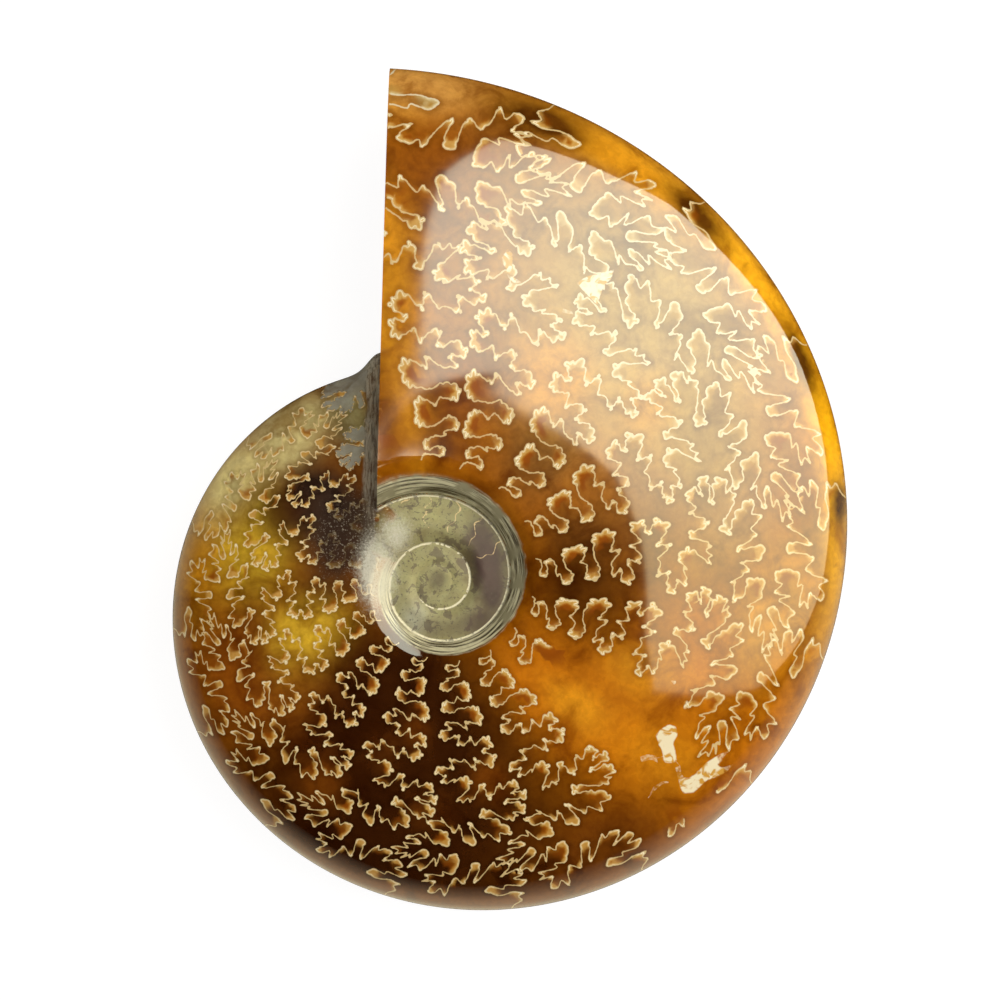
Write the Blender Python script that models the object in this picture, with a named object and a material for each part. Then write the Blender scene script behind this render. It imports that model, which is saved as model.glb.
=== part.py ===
"""A polished ammonite fossil, sawn off straight at its mouth, lying on one flank.

Metres, +Z up. The shell coils in the XY plane about its pole. Angles are in degrees,
anticlockwise from +X, and go on past 360 as the shell coils outward.
"""

import math

import bmesh
import bpy

# Outer edge: the radius from the pole grows by GROWTH nepers per half turn.
EDGE_RADIUS = 0.0368
EDGE_ANGLE = 280.0
EDGE_GROWTH = 0.4402

# Seam: the foot of each whorl's inner wall, where it meets the whorl before it.
SEAM_RADIUS = 0.00771
SEAM_ANGLE = 360.0
SEAM_GROWTH = 0.3972
SHOULDER_OVER_SEAM = 1.45
WALL_STEEPNESS = 0.75

# Half the thickness of a whorl, and the shape of its cross-section.
CORE_HALF_THICKNESS = 0.0064
GROWING_HALF_THICKNESS = 0.00045
THICKNESS_GROWTH = 0.00507
FLANK_FALL = 0.55
FLANK_CURVE = 3
EDGE_ROUNDING = 18

# The saw cut is a flat, upright face that passes the pole at CUT_OFFSET.
CUT_ANGLE = 88.5
CUT_OFFSET = 0.00676
STRAIGHT_FROM = 0.009

# A remnant of the outer whorl stands on the edge of the inner one beside the cut.
REMNANT_HEIGHT = 0.0020
REMNANT_ANGLE = 104.0
REMNANT_SPREAD = 5.0

# The shell leans to rest on its thick side, and the high spots there are lapped flat.
LEAN_X = -0.082
LEAN_Y = 0.036
LAPPED_DEPTH = 0.0003

# Grid over the surface: columns run outward, rows run along the coil.
COLUMNS_PER_TURN = 60
INNER_COLUMNS = 80
WALL_ROWS = (0.16, 0.42, 0.7)
SHELF_ROWS = (0.33, 0.67)
FLANK_ROWS = (0.2, 0.4, 0.58, 0.73, 0.84, 0.915, 0.96, 0.984, 0.996)

AMBER = (0.42, 0.17, 0.03, 1.0)
POLISH_ROUGHNESS = 0.15
SHARP_EDGE_ANGLE = 45.0


def edge_radius(angle):
    """Distance from the pole to the shell's outer edge."""
    remnant = REMNANT_HEIGHT * math.exp(-(((angle - REMNANT_ANGLE) / REMNANT_SPREAD) ** 2))
    return EDGE_RADIUS * math.exp(EDGE_GROWTH * (angle - EDGE_ANGLE) / 180) + remnant


def seam_radius(angle):
    """Distance from the pole to the foot of the whorl's inner wall."""
    return SEAM_RADIUS * math.exp(SEAM_GROWTH * (angle - SEAM_ANGLE) / 180)


def shoulder_radius(angle):
    return SHOULDER_OVER_SEAM * seam_radius(angle)


def next_seam_radius(angle):
    """Where the next whorl's inner wall stands on this whorl."""
    return seam_radius(angle + 360)


def sweep(radius):
    """How far a column has swept round at this radius, so that it runs straight like the cut."""
    return math.degrees(math.asin(CUT_OFFSET / max(radius, STRAIGHT_FROM)))


def radius_on(column_angle, outline):
    """The radius where a column crosses an outline that is given as a function of the angle."""
    radius = outline(column_angle)
    for _ in range(12):
        radius = outline(column_angle + sweep(radius))
    return radius


def flank_height(angle, radius):
    """Half the thickness of the whorl at this radius."""
    half = CORE_HALF_THICKNESS + GROWING_HALF_THICKNESS * math.exp(THICKNESS_GROWTH * angle)
    part = min(radius / edge_radius(angle), 1.0)
    return half * (1 - FLANK_FALL * part**FLANK_CURVE) * math.sqrt(1 - part**EDGE_ROUNDING)


def wall_height(angle, radius, part):
    """Height on the inner wall, part of the way from its foot to the shoulder."""
    foot = flank_height(angle - 360, radius)
    rise = math.sin(part * math.pi / 2) ** WALL_STEEPNESS
    return foot + rise * (flank_height(angle, radius) - foot)


def column_points(column_angle, has_flank):
    """Points (x, y, height) of one column from the seam outward, on the upper side."""
    seam = radius_on(column_angle, seam_radius)
    shoulder = radius_on(column_angle, shoulder_radius)
    shelf = radius_on(column_angle, next_seam_radius)
    places = [(seam, 0.0)]
    places += [(seam + part * (shoulder - seam), part) for part in WALL_ROWS]
    places += [(shoulder + part * (shelf - shoulder), 1.0) for part in (0.0, *SHELF_ROWS, 1.0)]
    if has_flank:
        edge = radius_on(column_angle, edge_radius)
        places += [(shelf + part * (edge - shelf), 1.0) for part in (*FLANK_ROWS, 1.0)]
    points = []
    for radius, part in places:
        angle = column_angle + sweep(radius)
        height = wall_height(angle, radius, part) if part < 1 else flank_height(angle, radius)
        turn = math.radians(angle)
        points.append((radius * math.cos(turn), radius * math.sin(turn), height))
    return points


def build_columns(mesh):
    """Vertices of the upper and lower side; each column's first point is the shelf end one turn before."""
    shelf_row = 1 + len(WALL_ROWS) + 1 + len(SHELF_ROWS)
    count = INNER_COLUMNS + COLUMNS_PER_TURN + 1
    first = CUT_ANGLE - INNER_COLUMNS * 360 / COLUMNS_PER_TURN
    upper = []
    lower = []
    for index in range(count):
        has_flank = index >= INNER_COLUMNS
        points = column_points(first + index * 360 / COLUMNS_PER_TURN, has_flank)
        top = []
        bottom = []
        for row, (x, y, height) in enumerate(points):
            if row == 0 and index >= COLUMNS_PER_TURN:
                top.append(upper[index - COLUMNS_PER_TURN][shelf_row])
                bottom.append(lower[index - COLUMNS_PER_TURN][shelf_row])
                continue
            middle = LEAN_X * x + LEAN_Y * y
            top.append(mesh.verts.new((x, y, middle + height)))
            on_edge = has_flank and row == len(points) - 1
            bottom.append(top[-1] if on_edge else mesh.verts.new((x, y, middle - height)))
        upper.append(top)
        lower.append(bottom)
    return upper, lower


def skin(mesh, columns):
    """Quads between neighbouring columns, and a fan over the first chamber at the pole."""
    for this, following in zip(columns, columns[1:]):
        for row in range(min(len(this), len(following)) - 1):
            mesh.faces.new((this[row], following[row], following[row + 1], this[row + 1]))
    rim = [column[0] for column in columns[: COLUMNS_PER_TURN + 1]] + columns[0][-2:0:-1]
    height = sum(vertex.co.z for vertex in rim[:COLUMNS_PER_TURN]) / COLUMNS_PER_TURN
    centre = mesh.verts.new((0.0, 0.0, height))
    for this, following in zip(rim, rim[1:] + rim[:1]):
        mesh.faces.new((centre, this, following))


def sawn_face(mesh, upper, lower):
    """The flat cut: the outer whorl's section less the inner whorl that runs on past it."""
    shelf_row = len(upper[0]) - 1
    outer = upper[-1] + lower[-1][-2::-1]
    inner = lower[INNER_COLUMNS][shelf_row + 1 :] + upper[INNER_COLUMNS][-2:shelf_row:-1]
    mesh.faces.new(outer + inner)


def settle(mesh):
    """Sets the shell down, laps its high spots flat and centres it over the origin."""
    floor = min(vertex.co.z for vertex in mesh.verts) + LAPPED_DEPTH
    middle = []
    for axis in range(2):
        along = [vertex.co[axis] for vertex in mesh.verts]
        middle.append((min(along) + max(along)) / 2)
    for vertex in mesh.verts:
        vertex.co.x -= middle[0]
        vertex.co.y -= middle[1]
        vertex.co.z = max(vertex.co.z - floor, 0.0)


def fossil_material():
    material = bpy.data.materials.new("polished_fossil")
    material.use_nodes = True
    surface = material.node_tree.nodes["Principled BSDF"]
    surface.inputs["Base Color"].default_value = AMBER
    surface.inputs["Roughness"].default_value = POLISH_ROUGHNESS
    surface.inputs["Metallic"].default_value = 0.0
    return material


def ammonite():
    mesh = bmesh.new()
    upper, lower = build_columns(mesh)
    skin(mesh, upper)
    skin(mesh, lower)
    sawn_face(mesh, upper, lower)
    settle(mesh)
    bmesh.ops.recalc_face_normals(mesh, faces=mesh.faces)
    data = bpy.data.meshes.new("ammonite")
    mesh.to_mesh(data)
    mesh.free()
    data.shade_smooth()
    data.set_sharp_from_angle(angle=math.radians(SHARP_EDGE_ANGLE))
    data.materials.append(fossil_material())
    shell = bpy.data.objects.new("ammonite", data)
    bpy.context.scene.collection.objects.link(shell)


def main():
    for leftover in list(bpy.data.objects):
        bpy.data.objects.remove(leftover)
    ammonite()


main()
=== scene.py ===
"""Looks of the polished ammonite fossil: its fine shape, suture pattern, finish, light and camera.

Lengths are in millimetres unless a name says otherwise. Angles are in degrees about the shell's
pole, anticlockwise from +X, and go on past 360 as the shell coils outward.
"""

import math

import bpy
import numpy as np
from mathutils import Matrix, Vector, kdtree
from mathutils.geometry import delaunay_2d_cdt


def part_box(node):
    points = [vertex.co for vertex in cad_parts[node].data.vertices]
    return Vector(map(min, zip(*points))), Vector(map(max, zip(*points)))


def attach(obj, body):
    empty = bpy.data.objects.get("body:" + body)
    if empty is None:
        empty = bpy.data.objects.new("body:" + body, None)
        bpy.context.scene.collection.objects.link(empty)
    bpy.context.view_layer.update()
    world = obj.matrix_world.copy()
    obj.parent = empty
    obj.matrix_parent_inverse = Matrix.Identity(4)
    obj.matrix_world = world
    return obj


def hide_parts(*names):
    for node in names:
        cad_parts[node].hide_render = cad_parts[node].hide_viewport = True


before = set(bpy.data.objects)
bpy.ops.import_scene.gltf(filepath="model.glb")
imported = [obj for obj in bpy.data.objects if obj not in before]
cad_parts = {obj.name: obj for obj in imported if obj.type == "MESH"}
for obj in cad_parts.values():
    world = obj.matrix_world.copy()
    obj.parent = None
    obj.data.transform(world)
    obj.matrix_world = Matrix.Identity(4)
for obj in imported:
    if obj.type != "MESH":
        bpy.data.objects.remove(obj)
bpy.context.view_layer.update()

MM = 0.001
SEED = 7

# The shell's spiral, cross-section and saw cut, as in the solid that this piece replaces.
EDGE_RADIUS, EDGE_ANGLE, EDGE_GROWTH = 36.8, 280.0, 0.4402
SEAM_RADIUS, SEAM_ANGLE, SEAM_GROWTH = 7.71, 360.0, 0.3972
SHOULDER_OVER_SEAM, WALL_STEEPNESS = 1.45, 0.75
CORE_HALF_THICKNESS, GROWING_HALF_THICKNESS, THICKNESS_GROWTH = 6.4, 0.45, 0.00507
FLANK_FALL, FLANK_CURVE, EDGE_ROUNDING = 0.55, 3, 18
CUT_ANGLE, CUT_OFFSET, STRAIGHT_FROM = 88.5, 6.76, 9.0
REMNANT_HEIGHT, REMNANT_ANGLE, REMNANT_SPREAD = 2.0, 104.0, 5.0
LEAN_X, LEAN_Y, LAPPED_DEPTH = -0.082, 0.036, 0.3

# Spacing of the fine mesh, and the field that its grid fills.
GRID, COARSE_GRID = 0.50, 0.95
GRID_LEFT, GRID_RIGHT, GRID_BOTTOM, GRID_TOP = -40.0, 48.0, -46.0, 58.0
LINE_STEP, OUTLINE_STEP = 0.25, 0.5
INNERMOST_ANGLE, WALL_FROM, WALL_COARSE_FROM = -560.0, -260.0, 100.0
RIM_PARTS = (0.93, 0.95, 0.962, 0.972, 0.98, 0.987, 0.992, 0.996, 0.9988)
WALL_PARTS = (0.02, 0.07, 0.14, 0.24, 0.36, 0.5, 0.66, 0.83)
# Rows of points beside each suture line, as (distance from the line, share of it kept clear).
BESIDE_ROWS = ((0.3, 0.72), (0.3 * 0.56, 0.9))

# One suture line, from the outer edge to the umbilicus, as (angle from its foremost tip, thousandths
# of the radius). Every chamber's suture repeats it.
SUTURE = (
    (-9.6, 999), (-9.0, 985), (-7.6, 970), (-8.1, 958), (-6.9, 948), (-9.1, 942), (-11.0, 948),
    (-13.7, 938), (-12.4, 922), (-10.2, 928), (-9.9, 918), (-6.8, 923), (-5.7, 910), (-8.2, 900),
    (-6.4, 889), (-7.5, 873), (-10.7, 890), (-8.6, 855), (-10.0, 848), (-11.5, 860), (-11.7, 844),
    (-15.5, 912), (-14.7, 850), (-15.4, 847), (-16.1, 851), (-17.5, 915), (-19.1, 896), (-21.3, 955),
    (-21.8, 932), (-23.4, 953), (-24.4, 949), (-22.7, 912), (-25.6, 920), (-24.2, 906), (-25.3, 898),
    (-24.0, 893), (-21.6, 890), (-22.0, 878), (-20.2, 882), (-19.6, 875), (-18.7, 821), (-19.5, 821),
    (-20.4, 825), (-21.1, 840), (-22.2, 822), (-23.5, 867), (-23.7, 840), (-26.7, 888), (-27.8, 875),
    (-29.7, 888), (-28.7, 864), (-24.9, 834), (-25.3, 818), (-30.0, 855), (-29.6, 844), (-32.0, 862),
    (-30.4, 840), (-33.4, 853), (-32.6, 840), (-34.6, 835), (-32.6, 828), (-29.9, 824), (-31.3, 812),
    (-27.6, 810), (-26.5, 805), (-27.4, 796), (-30.9, 796), (-30.5, 788), (-28.9, 786), (-27.1, 776),
    (-25.4, 784), (-25.9, 764), (-23.2, 796), (-22.3, 790), (-21.1, 798), (-20.1, 792), (-20.8, 752),
    (-23.4, 750), (-25.2, 728), (-23.6, 728), (-22.4, 722), (-21.4, 721), (-20.7, 727), (-21.2, 708),
    (-18.6, 755), (-17.2, 730), (-16.9, 778), (-14.5, 794), (-15.0, 722), (-12.4, 770), (-11.5, 756),
    (-9.2, 785), (-8.7, 758), (-6.9, 768), (-6.1, 761), (-8.5, 714), (-11.9, 705), (-10.7, 684),
    (-4.6, 725), (-3.7, 716), (-2.7, 720), (-4.1, 705), (-1.1, 708), (-1.0, 687), (-6.0, 671),
    (-4.9, 666), (-0.2, 667), (0.4, 648), (-3.6, 649), (-0.8, 630), (-1.6, 611), (-5.3, 629), (-5.3, 609),
    (-9.4, 655), (-9.7, 603), (-14.2, 662), (-14.5, 648), (-16.1, 663), (-16.3, 653), (-17.9, 663),
    (-13.0, 599), (-15.5, 587), (-18.0, 604), (-17.4, 593), (-20.7, 605), (-22.0, 602), (-20.0, 580),
    (-23.9, 578), (-21.7, 556), (-18.0, 561), (-19.2, 529), (-15.6, 540), (-14.4, 535), (-11.6, 564),
    (-11.1, 527), (-7.2, 556), (-4.3, 531), (-8.0, 508), (-6.7, 503), (-4.1, 503), (-4.3, 473),
    (-6.9, 474), (-9.4, 486), (-10.3, 465), (-12.6, 485), (-15.5, 490), (-14.0, 460), (-15.1, 460),
    (-16.3, 463), (-18.9, 473), (-22.0, 460), (-19.9, 445), (-17.4, 444), (-16.6, 440), (-19.5, 425),
    (-14.4, 423), (-10.8, 439), (-11.1, 417), (-5.5, 427), (-3.9, 411), (-4.8, 382), (-12.6, 378),
    (-15.1, 390), (-20.7, 379), (-19.5, 360), (-14.7, 361), (-13.1, 346), (-10.5, 354), (-6.9, 345),
    (-6.2, 307), (-12.6, 306), (-17.4, 325), (-21.7, 314), (-19.5, 301), (-16.1, 294), (-17.6, 289),
    (-12.4, 284), (-8.5, 266), (-10.5, 259), (-14.5, 266), (-18.0, 258), (-16.0, 249), (-11.5, 250),
    (-8.0, 243), (-7.0, 234),
)
SUTURE_TIPS = (
    129.0, 151.5, 175.5, 199.0, 221.0, 244.5, 269.5, 292.5,
    314.6, 336.8, 358.5, 381.0, 402.5, 424.0, 446.0, 464.0,
)
TIP_STEP = 22.4
INNER_SUTURES = 14
# The edge radii that the line has its full size at and that its smoothing is given for.
FULL_SIZE, TRACED_SIZE, MEAN_PART = 48, 40, 0.7
TIP_SMOOTHING, LEAF_SMOOTHING, TIP_REACH = 1.5, 4.5, 0.55
TOOTH_PITCH, TOOTH_HEIGHT, TOOTH_ROUNDING = 1.25, 0.8, 0.22
# The far ends of the leaves, behind this angle, are drawn in.
SQUEEZED_BEHIND, SQUEEZE = -24, 0.85
# One suture has a gap between two parts of the radius; the first two start outside a radius.
MISSING_TIP, MISSING_FROM, MISSING_TO = 336.8, 0.34, 0.93
FIRST_SEEN_TIP, CLEAR_RADIUS = 38.0, 9.5

# Pale chips and flecks in the stone, as corners in the plan.
CHIPS = (
    ((15.1, 32.5), (16.1, 33.2), (19.2, 34.0), (18.8, 32.9), (18.1, 32.3), (17.3, 30.2), (16.5, 30.9)),
    ((23.8, -16.7), (24.3, -16.1), (25.2, -15.5), (26.0, -15.8), (26.2, -16.7), (25.7, -17.6), (26.0, -18.7),
     (26.1, -19.6), (25.4, -19.8), (24.7, -19.7), (24.5, -18.5), (24.1, -17.7)),
    ((26.0, -20.3), (26.5, -20.1), (26.6, -21.1), (27.2, -21.6), (28.0, -21.2), (28.7, -20.5), (29.4, -19.8),
     (30.5, -19.1), (32.0, -18.4), (31.2, -19.3), (30.7, -20.1), (31.2, -20.4), (32.3, -20.1), (31.6, -20.9),
     (30.5, -21.4), (29.4, -21.8), (28.7, -22.5), (28.0, -23.1), (26.9, -23.2), (26.5, -22.5), (26.3, -21.6)),
    ((25.4, -10.7), (26.0, -10.8), (25.8, -11.2)),
    ((26.9, -13.0), (27.3, -12.9), (27.2, -13.8), (26.8, -13.9)),
    ((22.1, -19.1), (22.9, -18.8), (23.8, -19.0), (24.0, -19.7), (23.2, -19.3), (22.3, -19.7)),
    ((23.0, -23.6), (23.6, -22.4), (24.6, -21.8), (25.3, -21.9), (24.5, -22.1), (23.8, -22.7)),
    ((7.0, 35.2), (7.6, 36.2), (8.2, 35.6), (8.1, 34.1), (7.6, 33.8), (7.1, 34.5)),
    ((7.5, 33.4), (8.4, 33.0), (9.2, 32.5), (8.1, 32.5)),
    ((13.6, 29.7), (14.6, 29.4), (14.7, 29.1), (13.5, 29.3)),
)


# Shape of the shell


def edge_radius(angle):
    """Distance from the pole to the shell's outer edge."""
    remnant = REMNANT_HEIGHT * np.exp(-(((angle - REMNANT_ANGLE) / REMNANT_SPREAD) ** 2))
    return EDGE_RADIUS * np.exp(EDGE_GROWTH * (angle - EDGE_ANGLE) / 180) + remnant


def seam_radius(angle):
    """Distance from the pole to the foot of the whorl's inner wall."""
    return SEAM_RADIUS * np.exp(SEAM_GROWTH * (angle - SEAM_ANGLE) / 180)


def sweep(radius):
    """How far the saw cut has swept round at this radius."""
    return np.degrees(np.arcsin(CUT_OFFSET / np.maximum(radius, STRAIGHT_FROM)))


def bearing(x, y):
    """The angle about the pole, whole turns left out."""
    return np.degrees(np.arctan2(y, x))


def whorl_angle(x, y):
    """The angle, whole turns included, of the whorl that shows at each place."""
    radius = np.hypot(x, y)
    start = CUT_ANGLE + sweep(radius)
    angle = start + (bearing(x, y) - start) % 360
    for _ in range(4):
        angle = np.where(radius < seam_radius(angle), angle - 360, angle)
    return angle


def flank_height(angle, radius):
    """Half the thickness of the whorl at this radius."""
    half = CORE_HALF_THICKNESS + GROWING_HALF_THICKNESS * np.exp(THICKNESS_GROWTH * angle)
    part = np.minimum(radius / edge_radius(angle), 1.0)
    return half * (1 - FLANK_FALL * part**FLANK_CURVE) * np.sqrt(1 - part**EDGE_ROUNDING)


def wall_part(angle, radius):
    """0 at the foot of the inner wall, 1 from the shoulder outward."""
    seam = seam_radius(angle)
    return np.clip((radius - seam) / ((SHOULDER_OVER_SEAM - 1) * seam), 0, 1)


def shell_height(angle, radius):
    """Half the thickness of the shell, inner wall included."""
    foot = flank_height(angle - 360, radius)
    rise = np.sin(wall_part(angle, radius) * math.pi / 2) ** WALL_STEEPNESS
    return foot + rise * (flank_height(angle, radius) - foot)


def lean(x, y):
    return LEAN_X * x + LEAN_Y * y


def plan(angle, radius):
    turn = np.radians(angle)
    return np.stack([radius * np.cos(turn), radius * np.sin(turn)], axis=-1)


def cut_point(radius):
    """A place on the saw cut, at the end of the outer whorl."""
    return plan(CUT_ANGLE + 360 + sweep(radius), radius)


def round_to_cut(angle, radius):
    """How far each place is from the saw cut, measured round the pole."""
    start = CUT_ANGLE + sweep(radius)
    return np.radians(np.minimum(angle - start, start + 360 - angle)) * radius


def along_cut(x, y):
    """Distances along the saw cut and off it."""
    return x * CUT_COS + y * CUT_SIN, y * CUT_COS - x * CUT_SIN - CUT_OFFSET


def settle_on(outline, radius, turn=0):
    """The radius where the saw cut crosses an outline given by angle, from a first guess."""
    for _ in range(40):
        radius = outline(CUT_ANGLE + sweep(radius) + 360 * turn)
    return float(radius)


CUT_COS, CUT_SIN = math.cos(math.radians(CUT_ANGLE)), math.sin(math.radians(CUT_ANGLE))
CUT_NORMAL = np.array([-CUT_SIN, CUT_COS, 0])
INNER_EDGE = settle_on(edge_radius, 25)
OUTER_EDGE = settle_on(edge_radius, 55, turn=1)
SEAM_FOOT = settle_on(seam_radius, 10.5, turn=1)


# Suture lines


def rounded(points, step):
    """A centripetal spline through the points, sampled about every step."""
    points = np.asarray(points, float)
    padded = np.vstack([2 * points[0] - points[1], points, 2 * points[-1] - points[-2]])
    found = []
    for a, b, c, d in zip(padded, padded[1:], padded[2:], padded[3:]):
        gaps = [math.sqrt(max(np.hypot(*(q - p)), 1e-6)) for p, q in ((a, b), (b, c), (c, d))]
        t0, t1 = 0.0, gaps[0]
        t2 = t1 + gaps[1]
        t3 = t2 + gaps[2]
        count = max(1, int(round(np.hypot(*(c - b)) / step)))
        t = (t1 + (t2 - t1) * np.arange(count) / count)[:, None]
        ab = (a * (t1 - t) + b * (t - t0)) / (t1 - t0)
        bc = (b * (t2 - t) + c * (t - t1)) / (t2 - t1)
        cd = (c * (t3 - t) + d * (t - t2)) / (t3 - t2)
        abc = (ab * (t2 - t) + bc * (t - t0)) / (t2 - t0)
        bcd = (bc * (t3 - t) + cd * (t - t1)) / (t3 - t1)
        found.append((abc * (t2 - t) + bcd * (t - t1)) / (t2 - t1))
    return np.vstack(found + [points[-1:]])


def evenly(points, step):
    """The same line with its points this far apart."""
    run = np.concatenate([[0], np.cumsum(np.hypot(*np.diff(points[:, :2], axis=0).T))])
    places = np.linspace(0, run[-1], int(run[-1] / step) + 1)
    return np.stack([np.interp(places, run, values) for values in points.T], axis=1)


def smoothed(points, spread, step):
    """The points blurred along the line over this spread."""
    reach = int(3 * spread / step)
    weights = np.exp(-0.5 * (np.arange(-reach, reach + 1) * step / spread) ** 2)
    weights /= weights.sum()
    padded = np.pad(points, ((reach, reach), (0, 0)), mode="edge")
    return np.stack([np.convolve(values, weights, mode="valid") for values in padded.T], axis=1)


def left_of(points):
    """Unit vectors at the points of a line, square to it."""
    along = np.gradient(points, axis=0)
    along /= np.maximum(np.hypot(*along.T), 1e-9)[:, None]
    return along[:, ::-1] * np.array([-1, 1])


class Suture:
    """One suture on one whorl: points in plan, their whorl angles and how strongly each is a tip."""

    def __init__(self, number, tip, rng):
        outer = tip >= SUTURE_TIPS[0]
        size = float(edge_radius(tip))
        self.scale = min(max(size / FULL_SIZE, 0.5), 1.0)
        step = LINE_STEP * self.scale
        template = np.array(SUTURE) / (1, 1000) if outer else self.inner_wave(rng)
        to_mm = np.array([math.radians(1) * size * MEAN_PART, size])
        line = rounded(template * to_mm, step / 2)
        tips = self.tips_of(line, TIP_SMOOTHING * size / TRACED_SIZE, step / 2)
        leaves = self.tips_of(line, LEAF_SMOOTHING * size / TRACED_SIZE, step / 2)
        if outer:
            line = self.toothed(line, tips, size, step / 2, rng)
        line = evenly(np.column_stack([line, tips, leaves]), step)
        self.tipness, self.body = line[:, 2], line[:, 3]
        ahead, part = (line[:, :2] / to_mm).T
        phase = rng.uniform(0, 2 * math.pi, 6)
        swing = 0.35 * np.sin(23 * part + phase[0]) + 0.2 * np.sin(61 * part + phase[1])
        lift = 0.002 * np.sin(0.5 * ahead + phase[2]) + 0.001 * np.sin(1.3 * ahead + phase[3])
        squeezed = SQUEEZED_BEHIND + SQUEEZE * (ahead - SQUEEZED_BEHIND)
        self.number = number
        self.angle = tip + np.where(ahead < SQUEEZED_BEHIND, squeezed, ahead) + swing
        self.part = np.minimum(part + lift * np.clip((0.99 - part) / 0.03, 0, 1), 0.9995)
        self.radius = self.part * edge_radius(self.angle)
        self.place = plan(self.angle, self.radius)
        self.seen = self.shows() & (tip > FIRST_SEEN_TIP)
        self.seen &= (not outer) | (tip > SUTURE_TIPS[1]) | (self.radius > CLEAR_RADIUS)
        if abs(tip - MISSING_TIP) < 1:
            self.seen &= (self.part < MISSING_FROM) | (self.part > MISSING_TO)

    @staticmethod
    def inner_wave(rng):
        """The plain wave that stands for a suture of the inner whorls."""
        parts = np.arange(0.55, 0.25, -0.01)
        swing = 3.2 * np.sin(31 * parts + rng.uniform(0, 6)) + 1.5 * np.sin(90 * parts + rng.uniform(0, 6))
        return np.column_stack([swing - 8, parts])

    def toothed(self, line, tips, size, step, rng):
        """The line with small fingers round the ends of its leaves, one of them on each end's middle."""
        left = left_of(smoothed(line, 0.7 * self.scale, step))
        strength = np.abs(tips)
        softer = smoothed(line, TOOTH_ROUNDING * self.scale, step)
        line = line + (softer - line) * np.clip((0.84 - line[:, 1:] / size) / 0.04, 0, 1)
        middle = strength[1:-1]
        peaks = np.flatnonzero((middle > strength[:-2]) & (middle >= strength[2:]) & (middle > 0.3)) + 1
        pitch = TOOTH_PITCH * self.scale * rng.uniform(0.85, 1.2, len(peaks))
        away = np.abs(np.arange(len(line))[:, None] - peaks) * step
        nearest = away.argmin(axis=1)
        teeth = np.abs(np.cos(math.pi * away.min(axis=1) / pitch[nearest])) ** 0.7 - 0.6
        inward = np.clip((0.82 - line[:, 1] / size) / 0.1, 0.3, 1)
        reach = TOOTH_HEIGHT * self.scale * inward * np.clip((strength - 0.1) / 0.45, 0, 1)
        away_by = int(TOOTH_PITCH * self.scale / step)
        numbers = np.arange(len(line))
        last = len(line) - 1
        chord = line[np.minimum(numbers + away_by, last)] - line[np.maximum(numbers - away_by, 0)]
        reach *= np.clip((np.hypot(*chord.T) / self.scale - 1.1) / 0.6, 0, 1)
        return line + (np.sign(tips) * reach * teeth)[:, None] * left

    @staticmethod
    def tips_of(line, spread, step):
        """How far each point stands out from the line's course: ahead of it above 0, behind it below."""
        middle = smoothed(line, spread, step)
        return np.clip(((line - middle) * left_of(middle)).sum(axis=1) / (TIP_REACH * spread), -1, 1)

    def beside(self, shift):
        """Points at this distance from the line, on one side of it."""
        moved = self.place + shift * left_of(self.place)
        radius = np.hypot(*moved.T)
        angle = whorl_angle(*moved.T)
        inside = (radius < 0.9965 * edge_radius(angle)) & (round_to_cut(angle, radius) > 0.15)
        return moved[self.seen & inside]

    def shows(self):
        """Whether each point is on a whorl that shows, not under the next one or past the cut."""
        limit = CUT_ANGLE + 360 + sweep(self.radius)
        covered = (self.angle + 360 < limit) & (self.radius > seam_radius(self.angle + 360))
        return (self.angle < limit) & ~covered


def all_sutures():
    rng = np.random.default_rng(SEED)
    tips = [SUTURE_TIPS[0] - TIP_STEP * k for k in range(INNER_SUTURES, 0, -1)] + list(SUTURE_TIPS)
    return [Suture(number, tip, rng) for number, tip in enumerate(tips)]


# Fine mesh


def tree_of(points):
    """A search tree of the points of a plane."""
    tree = kdtree.KDTree(len(points))
    for number, point in enumerate(points):
        tree.insert((*point, 0), number)
    tree.balance()
    return tree


class Plan:
    """Points and edges of the plan that the shell's upper and lower sides are both built on."""

    def __init__(self):
        self.points = []
        self.edges = []

    def chain(self, points, closed=False, first=None, last=None):
        """Adds a line of points joined by edges, from and to points that are there already."""
        numbers = list(range(len(self.points), len(self.points) + len(points)))
        self.points += [tuple(point) for point in points]
        numbers = [first] * (first is not None) + numbers + [last] * (last is not None)
        self.edges += list(zip(numbers, numbers[1:]))
        if closed:
            self.edges.append((numbers[-1], numbers[0]))
        return numbers

    def scatter(self, points, clearance):
        """Adds loose points that are clear of those already there."""
        tree = tree_of(self.points)
        self.points += [(x, y) for x, y in points if tree.find((x, y, 0))[2] > clearance]


def spiral(outline, start, stop, step, grown=1):
    """Points about every step along an outline given by angle, grown by this factor."""
    angles = [start]
    while angles[-1] < stop:
        angles.append(angles[-1] + math.degrees(step / float(grown * outline(angles[-1]))))
    angles = np.linspace(start, stop, len(angles))
    return plan(angles, grown * outline(angles))


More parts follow.
